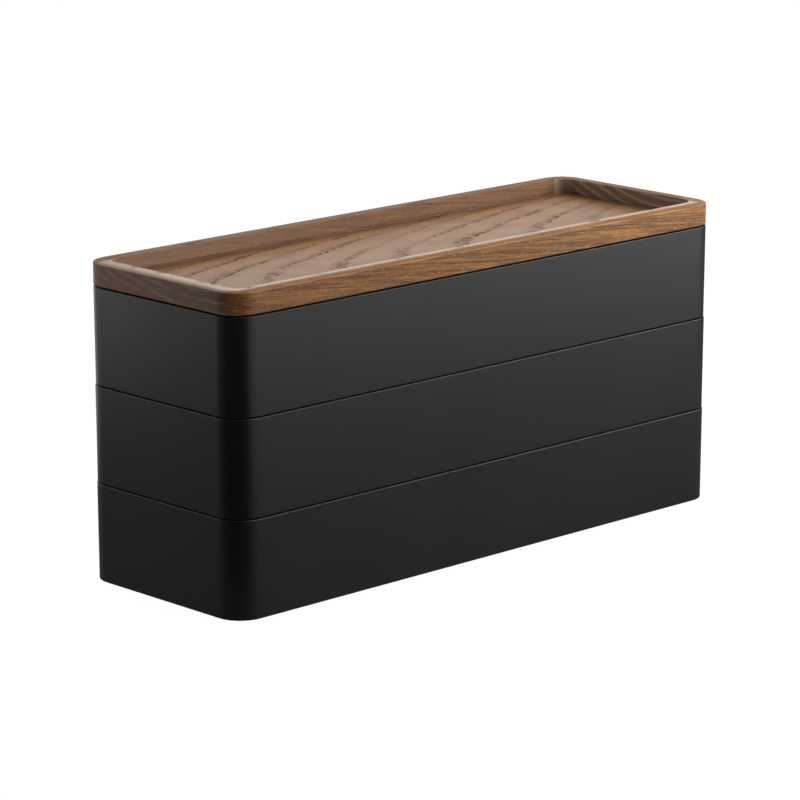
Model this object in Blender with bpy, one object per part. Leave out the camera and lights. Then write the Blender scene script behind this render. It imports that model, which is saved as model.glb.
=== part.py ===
"""Tiered accessory box: three stacked trays under a wooden lid that is a tray itself.

Each tier has a drawn-in foot that drops inside the rim of the tier below, and the lid
has a milled tongue that does the same, so the stack keeps in line and lifts apart.
Metres, +Z up. The origin is on the table, under the middle of the footprint.
The long sides face -Y and +Y.
"""

import math

import bmesh
import bpy

MM = 0.001

# Plan outline that the lid and the tiers share
LENGTH = 240 * MM
WIDTH = 80 * MM
CORNER_RADIUS = 10 * MM

# Heights of the stack, from the table up
FOOT_STAND = 0.6 * MM
BOTTOM_TIER_HEIGHT = 35.1 * MM
TIER_HEIGHT = 34.7 * MM
LID_HEIGHT = 8.5 * MM
SEAT_GAP = 0.3 * MM

# Moulded walls
WALL = 2.2 * MM
FLOOR = 2.0 * MM
OUTER_DRAFT = 0.15 * MM
INNER_DRAFT = 0.15 * MM
EDGE_RADIUS = 0.45 * MM
FLOOR_FILLET = 0.8 * MM

# Nesting foot of a tier and tongue of the lid
NEST_DEPTH = 2.2 * MM
NEST_CLEARANCE = 0.4 * MM

# Milled tray in the top of the lid
LID_RIM = 6.0 * MM
POCKET_DEPTH = 5.9 * MM
POCKET_RADIUS = 5.5 * MM
POCKET_FILLET = 1.2 * MM
LID_EDGE_RADIUS = 0.7 * MM

# Velour liners
LINER_THICKNESS = 1.2 * MM
LINER_CLEARANCE = 0.5 * MM

# Drop-in dividers and the guide ribs that hold them
DIVIDER_THICKNESS = 1.8 * MM
DIVIDER_BELOW_RIM = 3.5 * MM
DIVIDER_CORNER = 2.0 * MM
GUIDE_CLEARANCE = 0.3 * MM
RIB_WIDTH = 1.2 * MM
RIB_DEPTH = 1.5 * MM
RIB_BELOW_RIM = 7.0 * MM
MIDDLE_COMPARTMENTS = 4
TOP_COMPARTMENTS = 2

# Ring cushion at the left end of the top tier
CUSHION_LENGTH = 78 * MM
BOARD_THICKNESS = 1.6 * MM
ROLL_COUNT = 6
ROLL_HEIGHT = 16 * MM
ROLL_GAP = 0.5 * MM
ROLL_END_GAP = 0.8 * MM
ROLL_SIDE_FULLNESS = 0.75
ROLL_END_FULLNESS = 0.4
ROLL_FLAT_SHARE = 0.6

# Silicone feet, let into the base
FOOT_DIAMETER = 10 * MM
FOOT_SOCKET_DEPTH = 1.0 * MM
FOOT_CLEARANCE = 0.3 * MM
FOOT_EDGE_RADIUS = 0.25 * MM
FOOT_INSET = 14 * MM

# Fineness of the curves
CORNER_STEPS = 8
EDGE_STEPS = 2
FILLET_STEPS = 3
FOOT_STEPS = 32
ROLL_AROUND = 16
ROLL_ALONG = 14
SMALLEST_RADIUS = 0.2 * MM

# Where each moving piece sits at rest
BOTTOM_Z = FOOT_STAND
MIDDLE_Z = BOTTOM_Z + BOTTOM_TIER_HEIGHT + SEAT_GAP
TOP_Z = MIDDLE_Z + TIER_HEIGHT + SEAT_GAP
LID_Z = TOP_Z + TIER_HEIGHT + SEAT_GAP

# Insets from the plan outline, and heights over the shoulder that rests on the rim below
NEST_INSET = WALL + NEST_CLEARANCE
INNER_INSET = WALL + INNER_DRAFT
LEDGE_Z = FLOOR
PAN_INSET = NEST_INSET + FLOOR
PAN_Z = FLOOR - NEST_DEPTH
LINER_Z = PAN_Z + SEAT_GAP
INSERT_Z = LEDGE_Z + SEAT_GAP


def outline(inset, corner_radius):
    """Points of the plan outline drawn in by inset, anticlockwise from the +X side."""
    radius = max(corner_radius, SMALLEST_RADIUS)
    reach_x = LENGTH / 2 - inset - radius
    reach_y = WIDTH / 2 - inset - radius
    points = []
    for quarter, (side_x, side_y) in enumerate(((1, 1), (-1, 1), (-1, -1), (1, -1))):
        for step in range(CORNER_STEPS + 1):
            angle = math.radians(90) * (quarter + step / CORNER_STEPS)
            x = side_x * reach_x + radius * math.cos(angle)
            y = side_y * reach_y + radius * math.sin(angle)
            points.append((x, y))
    return points


def arc(inset, z, radius, start, end, steps):
    """Profile points of a rounded edge: 0 degrees looks out of the box, 90 looks up."""
    points = []
    for step in range(steps + 1):
        angle = math.radians(start + (end - start) * step / steps)
        points.append((inset - radius * math.cos(angle), z + radius * math.sin(angle)))
    return points


def concentric(profile, inset, radius):
    """Give each profile point the corner radius that keeps the corners concentric."""
    return [(point_inset, z, radius + inset - point_inset) for point_inset, z in profile]


def loft(sections):
    """Closed body through outlines (inset, z, corner radius), capped at both ends."""
    bm = bmesh.new()
    rings = []
    for inset, z, radius in sections:
        ring = [bm.verts.new((x, y, z)) for x, y in outline(inset, radius)]
        rings.append(ring)
    for lower, upper in zip(rings, rings[1:]):
        for here in range(len(lower)):
            back = here - 1
            bm.faces.new((lower[back], lower[here], upper[here], upper[back]))
    bm.faces.new(reversed(rings[0]))
    bm.faces.new(rings[-1])
    return bm


def box(low, high):
    """Closed box between two corners."""
    bm = bmesh.new()
    bmesh.ops.create_cube(bm, size=1)
    size = [b - a for a, b in zip(low, high)]
    middle = [(a + b) / 2 for a, b in zip(low, high)]
    bmesh.ops.scale(bm, vec=size, verts=bm.verts)
    bmesh.ops.translate(bm, vec=middle, verts=bm.verts)
    return bm


def round_edges(bm, edges, radius, steps):
    """Round the chosen edges of a body."""
    bmesh.ops.bevel(bm, geom=edges, offset=radius, offset_type='OFFSET', segments=steps,
                    profile=0.5, affect='EDGES', clamp_overlap=True, material=-1)


def edges_along(bm, axis, keep):
    """Edges that run along an axis and whose midpoint passes the test."""
    found = []
    for edge in bm.edges:
        a, b = (vert.co for vert in edge.verts)
        direction = (b - a).normalized()
        if abs(direction[axis]) > 0.999 and keep((a + b) / 2):
            found.append(edge)
    return found


def plain_material(name, color, roughness):
    """Material of a moulded, fabric-faced or wooden piece."""
    material = bpy.data.materials.new(name)
    material.use_nodes = True
    shader = material.node_tree.nodes["Principled BSDF"]
    shader.inputs["Base Color"].default_value = (*color, 1.0)
    shader.inputs["Roughness"].default_value = roughness
    shader.inputs["Metallic"].default_value = 0.0
    return material


def add_object(name, bm, collection, material=None, location=(0, 0, 0), parent=None):
    """Turn a bmesh into a named object, shaded smooth between its sharp edges."""
    mesh = bpy.data.meshes.new(name)
    bm.to_mesh(mesh)
    bm.free()
    mesh.shade_smooth()
    mesh.set_sharp_from_angle(angle=math.radians(30))
    if material is not None:
        mesh.materials.append(material)
    piece = bpy.data.objects.new(name, mesh)
    piece.location = location
    piece.parent = parent
    collection.objects.link(piece)
    return piece


def add_cutter(name, bm, collection, parent):
    """A helper body that only shapes another piece."""
    cutter = add_object(name, bm, collection, parent=parent)
    cutter.hide_render = True
    cutter.display_type = 'WIRE'
    return cutter


def combine(piece, cutter, operation):
    """Join a helper body to a piece, or cut it away."""
    modifier = piece.modifiers.new(cutter.name, 'BOOLEAN')
    modifier.operation = operation
    modifier.object = cutter


def rim_profile(height):
    """From the outer wall, over the rim and down to the inner fillet's start."""
    edge = EDGE_RADIUS
    outer = arc(edge, height - edge, edge, 0, 90, EDGE_STEPS)
    inner = arc(WALL - edge, height - edge, edge, 90, 180, EDGE_STEPS)
    return outer + inner


def nesting_tier_sections(height):
    """Foot, shoulder, wall, rim, ledge and sunk pan of a tier that stands on another."""
    edge = EDGE_RADIUS
    profile = arc(NEST_INSET + edge, edge - NEST_DEPTH, edge, 270, 360, EDGE_STEPS)
    profile.append((NEST_INSET, 0.0))
    profile += arc(OUTER_DRAFT + edge, edge, edge, 270, 360, EDGE_STEPS)
    profile += rim_profile(height)
    profile += arc(INNER_INSET + FLOOR_FILLET, LEDGE_Z + FLOOR_FILLET, FLOOR_FILLET,
                   0, -90, FILLET_STEPS)
    profile += arc(PAN_INSET - edge, LEDGE_Z - edge, edge, 90, 180, EDGE_STEPS)
    profile += arc(PAN_INSET + edge, PAN_Z + edge, edge, 0, -90, EDGE_STEPS)
    return concentric(profile, 0, CORNER_RADIUS)


def bottom_tier_sections(height):
    """Plain base, wall and rim, with one flat floor inside."""
    edge = EDGE_RADIUS
    profile = arc(OUTER_DRAFT + edge, edge, edge, 270, 360, EDGE_STEPS)
    profile += rim_profile(height)
    profile += arc(INNER_INSET + FLOOR_FILLET, LEDGE_Z + FLOOR_FILLET, FLOOR_FILLET,
                   0, -90, FILLET_STEPS)
    return concentric(profile, 0, CORNER_RADIUS)


def lid_sections():
    """Tongue, shoulder, outer side, rounded rim and milled pocket of the lid."""
    edge = EDGE_RADIUS
    rim = LID_EDGE_RADIUS
    below = arc(NEST_INSET + edge, edge - NEST_DEPTH, edge, 270, 360, EDGE_STEPS)
    below.append((NEST_INSET, 0.0))
    below += arc(edge, edge, edge, 270, 360, EDGE_STEPS)
    below += arc(rim, LID_HEIGHT - rim, rim, 0, 90, FILLET_STEPS)
    pocket_z = LID_HEIGHT - POCKET_DEPTH
    pocket = arc(LID_RIM - rim, LID_HEIGHT - rim, rim, 90, 180, FILLET_STEPS)
    pocket += arc(LID_RIM + POCKET_FILLET, pocket_z + POCKET_FILLET, POCKET_FILLET,
                  0, -90, FILLET_STEPS)
    return concentric(below, 0, CORNER_RADIUS) + concentric(pocket, LID_RIM, POCKET_RADIUS)


def liner_body(inset, z):
    """Sheet of velour-faced board with its top edge turned over."""
    edge = EDGE_RADIUS
    profile = [(inset, z)]
    profile += arc(inset + edge, z + LINER_THICKNESS - edge, edge, 0, 90, EDGE_STEPS)
    return loft(concentric(profile, 0, CORNER_RADIUS))


def divider_body(height):
    """Plate that stands on the two ledges and reaches down to the liner between them."""
    half_thickness = DIVIDER_THICKNESS / 2
    wide = WIDTH / 2 - INNER_INSET - GUIDE_CLEARANCE
    narrow = WIDTH / 2 - PAN_INSET - LINER_CLEARANCE
    top = height - DIVIDER_BELOW_RIM
    foot = LINER_Z + LINER_THICKNESS + SEAT_GAP
    outline_points = [(narrow, foot), (narrow, INSERT_Z), (wide, INSERT_Z), (wide, top)]
    outline_points += [(-y, z) for y, z in reversed(outline_points)]
    bm = bmesh.new()
    verts = [bm.verts.new((-half_thickness, y, z)) for y, z in outline_points]
    side = bm.faces.new(verts)
    wall = bmesh.ops.extrude_face_region(bm, geom=[side])["geom"]
    moved = [item for item in wall if isinstance(item, bmesh.types.BMVert)]
    bmesh.ops.translate(bm, vec=(DIVIDER_THICKNESS, 0, 0), verts=moved)
    bmesh.ops.recalc_face_normals(bm, faces=bm.faces)
    top_corners = edges_along(bm, 0, lambda middle: middle.z > top - SMALLEST_RADIUS)
    round_edges(bm, top_corners, DIVIDER_CORNER, FILLET_STEPS)
    seat_corners = edges_along(
        bm, 0, lambda middle: abs(middle.y) > wide - SMALLEST_RADIUS
        and middle.z < INSERT_Z + SMALLEST_RADIUS)
    round_edges(bm, seat_corners, FLOOR_FILLET, EDGE_STEPS)
    return bm


def rib_bodies(positions, height):
    """Pairs of guide ribs on both long walls, one pair for each end of each divider."""
    offset = DIVIDER_THICKNESS / 2 + GUIDE_CLEARANCE + RIB_WIDTH / 2
    outer = WIDTH / 2 - WALL / 2
    inner = WIDTH / 2 - INNER_INSET - RIB_DEPTH
    ribs = bmesh.new()
    for position in positions:
        for side_x in (-1, 1):
            for side_y in (-1, 1):
                x = position + side_x * offset
                y_low, y_high = sorted((side_y * inner, side_y * outer))
                rib = box((x - RIB_WIDTH / 2, y_low, LEDGE_Z - FLOOR / 2),
                          (x + RIB_WIDTH / 2, y_high, height - RIB_BELOW_RIM))
                lead_in = edges_along(
                    rib, 0, lambda middle: middle.z > LEDGE_Z
                    and abs(middle.y) < (inner + outer) / 2)
                round_edges(rib, lead_in, RIB_DEPTH, 1)
                scratch = bpy.data.meshes.new("rib")
                rib.to_mesh(scratch)
                rib.free()
                ribs.from_mesh(scratch)
                bpy.data.meshes.remove(scratch)
    return ribs


def ring_board_body(low_x, high_x):
    """Board whose outer corners follow the tier's inside corners."""
    half_width = WIDTH / 2 - INNER_INSET - SEAT_GAP
    bm = box((low_x, -half_width, INSERT_Z), (high_x, half_width, INSERT_Z + BOARD_THICKNESS))
    outer_corners = edges_along(bm, 2, lambda middle: middle.x < (low_x + high_x) / 2)
    corner = max(CORNER_RADIUS - INNER_INSET - SEAT_GAP, FLOOR_FILLET)
    round_edges(bm, outer_corners, corner, CORNER_STEPS)
    return bm


def swell(value, fullness):
    """Push a sphere's coordinate outwards, so that a ball turns into a stuffed roll."""
    return math.copysign(abs(value) ** fullness, value)


def ring_roll_body(width, length, height):
    """Stuffed roll: round on top, full along its length, drawn in at its sewn ends."""
    bm = bmesh.new()
    bmesh.ops.create_uvsphere(bm, u_segments=ROLL_AROUND, v_segments=ROLL_ALONG, radius=1)
    crown = height / (1 + ROLL_FLAT_SHARE)
    for vert in bm.verts:
        across, up, along = vert.co
        vert.co.x = width / 2 * swell(across, ROLL_SIDE_FULLNESS)
        vert.co.y = -length / 2 * swell(along, ROLL_END_FULLNESS)
        vert.co.z = crown * (max(swell(up, ROLL_SIDE_FULLNESS), -ROLL_FLAT_SHARE)
                             + ROLL_FLAT_SHARE)
    return bm


def disc(radius, low, high):
    """Upright cylinder between two heights."""
    bm = bmesh.new()
    bmesh.ops.create_cone(bm, cap_ends=True, segments=FOOT_STEPS, radius1=radius,
                          radius2=radius, depth=high - low)
    bmesh.ops.translate(bm, vec=(0, 0, (low + high) / 2), verts=bm.verts)
    return bm


def foot_body():
    """Silicone pad with a softened lower edge."""
    low = -FOOT_STAND
    bm = disc(FOOT_DIAMETER / 2, low, FOOT_SOCKET_DEPTH - FOOT_CLEARANCE)
    tread = [edge for edge in bm.edges
             if all(vert.co.z < low + SMALLEST_RADIUS for vert in edge.verts)]
    round_edges(bm, tread, FOOT_EDGE_RADIUS, EDGE_STEPS)
    return bm


def divider_places(low_x, high_x, compartments):
    """Middles of the dividers that split a stretch into equal compartments."""
    pitch = (high_x - low_x) / compartments
    return [low_x + pitch * number for number in range(1, compartments)]


def add_nesting_tier(name, z, places, group, helpers, looks):
    """Moulded tray with guide ribs at the given places along its length."""
    sections = nesting_tier_sections(TIER_HEIGHT)
    tier = add_object(name, loft(sections), group, looks["abs"], location=(0, 0, z))
    ribs = add_cutter(name + "_ribs", rib_bodies(places, TIER_HEIGHT), helpers, tier)
    combine(tier, ribs, 'UNION')
    return tier


def add_dividers(prefix, tier, places, group, looks):
    """One plate in each pair of ribs."""
    for number, place in enumerate(places, start=1):
        add_object(f"{prefix}_divider_{number}", divider_body(TIER_HEIGHT), group,
                   looks["abs"], location=(place, 0, 0), parent=tier)


def add_pan_liner(name, tier, group, looks):
    """Liner in the sunk pan of a nesting tier."""
    body = liner_body(PAN_INSET + LINER_CLEARANCE, LINER_Z)
    add_object(name, body, group, looks["velour"], parent=tier)


def add_bottom_tier(group, helpers, looks):
    """Bottom tray with its liner and its four feet."""
    body = loft(bottom_tier_sections(BOTTOM_TIER_HEIGHT))
    tier = add_object("bottom_tier", body, group, looks["abs"], location=(0, 0, BOTTOM_Z))
    liner = liner_body(INNER_INSET + FLOOR_FILLET, INSERT_Z)
    add_object("bottom_liner", liner, group, looks["velour"], parent=tier)
    reach_x = LENGTH / 2 - FOOT_INSET
    reach_y = WIDTH / 2 - FOOT_INSET
    corners = {"front_left": (-1, -1), "front_right": (1, -1),
               "rear_left": (-1, 1), "rear_right": (1, 1)}
    for corner, (side_x, side_y) in corners.items():
        place = (side_x * reach_x, side_y * reach_y, 0)
        socket_radius = FOOT_DIAMETER / 2 + FOOT_CLEARANCE
        socket = disc(socket_radius, -FOOT_SOCKET_DEPTH, FOOT_SOCKET_DEPTH)
        cutter = add_cutter("socket_" + corner, socket, helpers, tier)
        cutter.location = place
        combine(tier, cutter, 'DIFFERENCE')
        add_object("foot_" + corner, foot_body(), group, looks["silicone"],
                   location=place, parent=tier)
    return tier


def add_middle_tier(group, helpers, looks):
    """Tray split into equal compartments."""
    half = LENGTH / 2 - INNER_INSET
    places = divider_places(-half, half, MIDDLE_COMPARTMENTS)
    tier = add_nesting_tier("middle_tier", MIDDLE_Z, places, group, helpers, looks)
    add_pan_liner("middle_liner", tier, group, looks)
    add_dividers("middle", tier, places, group, looks)
    return tier


def add_ring_cushion(tier, low_x, high_x, group, looks):
    """Covered board with a row of stuffed rolls that grip rings between them."""
    add_object("ring_board", ring_board_body(low_x, high_x), group, looks["velour"],
               parent=tier)
    pitch = (high_x - low_x) / ROLL_COUNT
    length = WIDTH - 2 * (INNER_INSET + ROLL_END_GAP)
    seat = INSERT_Z + BOARD_THICKNESS + SEAT_GAP
    for number in range(1, ROLL_COUNT + 1):
        roll = ring_roll_body(pitch - ROLL_GAP, length, ROLL_HEIGHT)
        place = (low_x + pitch * (number - 0.5), 0, seat)
        add_object(f"ring_roll_{number}", roll, group, looks["velour"],
                   location=place, parent=tier)


def add_top_tier(group, helpers, looks):
    """Tray with the ring cushion at its left end and compartments beside it."""
    half = LENGTH / 2 - INNER_INSET
    rib_reach = DIVIDER_THICKNESS / 2 + GUIDE_CLEARANCE + RIB_WIDTH
    board_low = SEAT_GAP - half
    board_high = board_low + CUSHION_LENGTH
    first = board_high + SEAT_GAP + rib_reach
    places = [first] + divider_places(first, half, TOP_COMPARTMENTS)
    tier = add_nesting_tier("top_tier", TOP_Z, places, group, helpers, looks)
    add_pan_liner("top_liner", tier, group, looks)
    add_dividers("top", tier, places, group, looks)
    add_ring_cushion(tier, board_low, board_high, group, looks)
    return tier


def add_collection(name):
    """Collection under the scene's own."""
    collection = bpy.data.collections.new(name)
    bpy.context.scene.collection.children.link(collection)
    return collection


def build():
    """The whole box, from the table up."""
    for leftover in list(bpy.data.objects):
        bpy.data.objects.remove(leftover, do_unlink=True)
    group = add_collection("tiered_accessory_box")
    helpers = add_collection("shaping_bodies")
    looks = {
        "wood": plain_material("stained_ash", (0.145, 0.066, 0.034), 0.55),
        "abs": plain_material("satin_black_abs", (0.014, 0.014, 0.015), 0.42),
        "velour": plain_material("grey_velour", (0.085, 0.078, 0.072), 0.95),
        "silicone": plain_material("black_silicone", (0.02, 0.02, 0.02), 0.7),
    }
    add_bottom_tier(group, helpers, looks)
    add_middle_tier(group, helpers, looks)
    add_top_tier(group, helpers, looks)
    add_object("lid_tray", loft(lid_sections()), group, looks["wood"],
               location=(0, 0, LID_Z))


build()
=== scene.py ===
# %% [markdown]
# # A tiered accessory box, dressed for the camera
# Three black moulded trays stand on each other under a lid of stained ash, and the lid
# is a shallow tray itself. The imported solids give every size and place. This lesson
# makes finer meshes over them, with the radii that catch the light, and then spends
# most of its lines on two finishes: oiled ash and satin moulded plastic.

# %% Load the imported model
import math
from types import SimpleNamespace

import bmesh
import bpy
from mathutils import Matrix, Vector


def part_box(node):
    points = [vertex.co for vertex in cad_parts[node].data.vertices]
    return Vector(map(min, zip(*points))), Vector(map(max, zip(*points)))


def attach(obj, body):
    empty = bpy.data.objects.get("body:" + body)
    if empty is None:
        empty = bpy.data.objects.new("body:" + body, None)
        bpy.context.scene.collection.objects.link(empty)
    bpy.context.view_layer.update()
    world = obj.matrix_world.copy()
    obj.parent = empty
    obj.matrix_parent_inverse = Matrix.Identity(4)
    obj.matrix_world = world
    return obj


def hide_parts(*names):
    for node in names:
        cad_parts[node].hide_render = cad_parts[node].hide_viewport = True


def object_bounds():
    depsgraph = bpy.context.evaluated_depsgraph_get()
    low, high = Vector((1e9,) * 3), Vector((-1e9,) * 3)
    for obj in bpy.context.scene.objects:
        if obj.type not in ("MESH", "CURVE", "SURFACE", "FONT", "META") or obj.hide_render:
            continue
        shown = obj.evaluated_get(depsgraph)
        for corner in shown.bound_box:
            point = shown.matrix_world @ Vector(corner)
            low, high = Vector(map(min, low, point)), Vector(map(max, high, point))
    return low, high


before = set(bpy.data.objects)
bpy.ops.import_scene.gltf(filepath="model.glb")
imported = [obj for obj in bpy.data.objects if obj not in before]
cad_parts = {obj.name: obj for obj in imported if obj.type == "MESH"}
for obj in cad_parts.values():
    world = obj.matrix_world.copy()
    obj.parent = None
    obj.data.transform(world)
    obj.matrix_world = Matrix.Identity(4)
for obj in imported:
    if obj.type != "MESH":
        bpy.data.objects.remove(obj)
cad_low, cad_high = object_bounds()
LENGTH = cad_high.x - cad_low.x
WIDTH = cad_high.y - cad_low.y
MM = 0.001
print("nodes", len(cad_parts), "box", [round(side / MM, 2) for side in cad_high - cad_low])

# %% [markdown]
# ## The camera
# The photograph is a three-quarter view from a little above, taken with a long lens, so
# the box's edges hardly converge. The values below were fitted to the box's own edges.
# The camera looks along one direction and is moved sideways and up in its own plane,
# which frames the object without any lens shift.

# %% Place the camera
CAMERA_AZIMUTH = -43.972
CAMERA_ELEVATION = 13.664
CAMERA_DISTANCE = 1352.3 * MM
CAMERA_LENS = 167.93
SENSOR_WIDTH = 36.0
FRAME_RIGHT = -4.19 * MM
FRAME_UP = -6.03 * MM
AIM_HEIGHT = 57.55 * MM
NEAREST = 10 * MM
FARTHEST = 100.0


def direction(azimuth, elevation):
    """Unit vector from the object to a viewer: 0 degrees is in front, on the -Y side."""
    turn = math.radians(azimuth)
    tilt = math.radians(elevation)
    return Vector((math.sin(turn) * math.cos(tilt), -math.cos(turn) * math.cos(tilt),
                   math.sin(tilt)))


def add_camera():
    """Camera at the photograph's angle."""
    back = direction(CAMERA_AZIMUTH, CAMERA_ELEVATION)
    right = Vector((math.cos(math.radians(CAMERA_AZIMUTH)),
                    math.sin(math.radians(CAMERA_AZIMUTH)), 0))
    above = back.cross(right)
    camera = bpy.data.objects.new("camera", bpy.data.cameras.new("camera"))
    camera.data.lens = CAMERA_LENS
    camera.data.sensor_width = SENSOR_WIDTH
    camera.data.clip_start = NEAREST
    camera.data.clip_end = FARTHEST
    camera.location = (Vector((0, 0, AIM_HEIGHT)) + back * CAMERA_DISTANCE
                       + right * FRAME_RIGHT + above * FRAME_UP)
    camera.rotation_mode = 'QUATERNION'
    camera.rotation_quaternion = (-back).to_track_quat('-Z', 'Y')
    bpy.context.scene.collection.objects.link(camera)
    bpy.context.scene.camera = camera
    return camera


camera = add_camera()
print("camera at", [round(value / MM) for value in camera.location], "mm")

# %% [markdown]
# ## Colours and nodes
# Colours are written as the hex values that a picture editor shows. Shaders work with
# linear light, so one function turns hex into linear numbers. Another adds a node, and
# gives its sockets a hex colour, a plain value or another node's answer, all written in
# the same way, which keeps each material readable.

# %% Helpers for materials
SRGB_KNEE = 0.04045
SRGB_SLOPE = 12.92
SRGB_OFFSET = 0.055
SRGB_POWER = 2.4


def linear(hex_colour):
    """Linear RGBA of an sRGB hex colour."""
    channels = [int(hex_colour[place:place + 2], 16) / 255 for place in (1, 3, 5)]
    light = [value / SRGB_SLOPE if value <= SRGB_KNEE
             else ((value + SRGB_OFFSET) / (1 + SRGB_OFFSET)) ** SRGB_POWER
             for value in channels]
    return (*light, 1.0)


def plug(tree, socket, value):
    """Give a socket another node's answer, a hex colour or a plain value."""
    if isinstance(value, bpy.types.NodeSocket):
        tree.links.new(value, socket)
    else:
        socket.default_value = linear(value) if isinstance(value, str) else value


def add_node(tree, kind, inputs=None, **settings):
    """Add a node with its settings and with what its sockets are given."""
    made = tree.nodes.new(kind)
    for setting, value in settings.items():
        setattr(made, setting, value)
    for socket, value in (inputs or {}).items():
        plug(tree, made.inputs[socket], value)
    return made


def feed(tree, shader, **sockets):
    """Give the sockets of a shader their values."""
    for socket, value in sockets.items():
        plug(tree, shader.inputs[socket.replace("_", " ")], value)


def new_material(name, **sockets):
    """Material with one Principled shader and its constant sockets."""
    material = bpy.data.materials.new(name)
    material.use_nodes = True
    tree = material.node_tree
    shader = tree.nodes["Principled BSDF"]
    feed(tree, shader, **sockets)
    return material, tree, shader


print("mid grey in linear light", round(linear("#808080")[0], 3))

# %% [markdown]
# ## Patterns in real sizes
# Every pattern is read at a place in millimetres, so each size below could be measured
# on the board with a rule. These short functions add one node or a few, and give back
# the socket with the answer: a noise, a step, a product, or a mix of two colours. A step
# is written as (low, high), or as (low, high, value below, value above).

# %% Helpers for patterns
MM_PER_METRE = 1000.0
NOISE_MIDDLE = 0.5


def computed(tree, operation, *terms, kind='Math', output=0, **settings):
    """One step of arithmetic on other nodes' answers or plain numbers."""
    made = add_node(tree, 'ShaderNode' + kind, dict(enumerate(terms)), operation=operation,
                    **settings)
    return made.outputs[output]


def coordinates(tree):
    """A piece's own coordinates in millimetres, and its normals."""
    source = add_node(tree, 'ShaderNodeTexCoord').outputs
    place = computed(tree, 'MULTIPLY', source['Object'], (MM_PER_METRE,) * 3,
                     kind='VectorMath')
    return place, source['Normal']


def parts_of(tree, vector):
    """The X, Y and Z of a vector."""
    return tuple(add_node(tree, 'ShaderNodeSeparateXYZ', {0: vector}).outputs)


def noise(tree, place, size, detail=2.0, output='Fac'):
    """Noise whose cells have a real size in millimetres."""
    cells = computed(tree, 'MULTIPLY', place, tuple(1 / side for side in size),
                     kind='VectorMath')
    made = add_node(tree, 'ShaderNodeTexNoise',
                    {'Vector': cells, 'Scale': 1.0, 'Detail': detail})
    return made.outputs[output]


def pushed(tree, place, size, reach):
    """Move points across the log by smooth noise, mostly by less than half of reach."""
    shove = noise(tree, place, size, output='Color')
    centred = computed(tree, 'SUBTRACT', shove, (NOISE_MIDDLE,) * 3, kind='VectorMath')
    return computed(tree, 'MULTIPLY_ADD', centred, (0, 2 * reach, 2 * reach), place,
                    kind='VectorMath')


def between(tree, value, low, high, bottom=0.0, top=1.0):
    """Smooth step of a value between two levels."""
    levels = {'From Min': low, 'From Max': high, 'To Min': bottom, 'To Max': top}
    return add_node(tree, 'ShaderNodeMapRange', {'Value': value, **levels},
                    interpolation_type='SMOOTHSTEP').outputs[0]


def fading(tree, value, low=0.0, high=1.0):
    """Smooth step down, from 1 at the low level to 0 at the high one."""
    return between(tree, value, low, high, 1.0, 0.0)


def mixed(tree, share, first, second):
    """Mix two colours."""
    return add_node(tree, 'ShaderNodeMix', {0: share, 6: first, 7: second},
                    data_type='RGBA', clamp_factor=True).outputs[2]


def blended(tree, share, first, second):
    """Mix two values."""
    return add_node(tree, 'ShaderNodeMix', {0: share, 2: first, 3: second},
                    data_type='FLOAT').outputs[0]


def times(tree, first, *others):
    """Product of two values or more."""
    for other in others:
        first = computed(tree, 'MULTIPLY', first, other)
    return first


def larger(tree, first, second):
    """The larger of two values."""
    return computed(tree, 'MAXIMUM', first, second)


def size_of(tree, value):
    """A value without its sign."""
    return computed(tree, 'ABSOLUTE', value)


def relief(tree, height, strength, depth, **settings):
    """Normals of a surface whose relief follows a value."""
    return add_node(tree, 'ShaderNodeBump', {'Height': height, 'Strength': strength,
                    'Distance': depth}, **settings).outputs[0]


def grey_ramp(tree, value, stops):
    """Colour ramp of grey stops of (position, value), read at a value."""
    ramp = add_node(tree, 'ShaderNodeValToRGB', {'Fac': value})
    elements = ramp.color_ramp.elements
    while len(elements) < len(stops):
        elements.new(0.5)
    for element, (position, grey) in zip(elements, stops):
        element.position = position
        element.color = (grey, grey, grey, 1.0)
    return ramp.outputs['Color']


print("patterns are read in millimetres, at", MM_PER_METRE, "to the metre")

# %% [markdown]
# ## How the board grew
# The lid is one board of ash. A flat picture of grain would not meet at the edges, so
# the figure is solid: every point asks how far it lies from the tree's pith. The pith of
# this board lies about 225 mm over the table, a little towards the front, and falls to
# the right. Rings round such a tilted line give the slanting arches on the tray's floor,
# the nearly level lines on the long side and the slanting ones on the ends. Ash is
# ring-porous: each year starts with a band of open pores that drink the stain, and ends
# in dense wood. The knife opens the pores as short crooked lines, and these lie where
# a smooth noise crosses its middle value.

# %% Growth of the ash
PITH_PLACE = (0.0, -24.0, 225.6)
PITH_FALL = math.radians(5.7)
RING_WIDTH = 3.3
FIRST_RING = 72.1
EARLY_STOPS = [(0.0, 1.0), (0.1, 0.9), (0.2, 0.4), (0.3, 0.0), (0.95, 0.0), (1.0, 1.0)]
LATE_STOPS = [(0.0, 0.0), (0.45, 0.0), (0.66, 1.0), (0.82, 0.3), (1.0, 0.0)]
SLOW_WAVE_SIZE = (80.0, 26.0, 26.0)
SLOW_WAVE_REACH = 1.3
QUICK_WAVE_SIZE = (6.0, 4.0, 2.5)
QUICK_WAVE_REACH = 0.5
PORE_SIZE = (3.2, 1.3, 0.9)
PORE_LINE = (0.035, 0.075)
PORE_PATCH = (30.0, 20.0, 6.0)
PORE_PATCH_STEP = (0.38, 0.56, 0.2, 1.0)
FIBRE_SIZE = (22.0, 3.0, 0.45)
STREAK_SIZE = (70.0, 12.0, 1.2)


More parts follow.
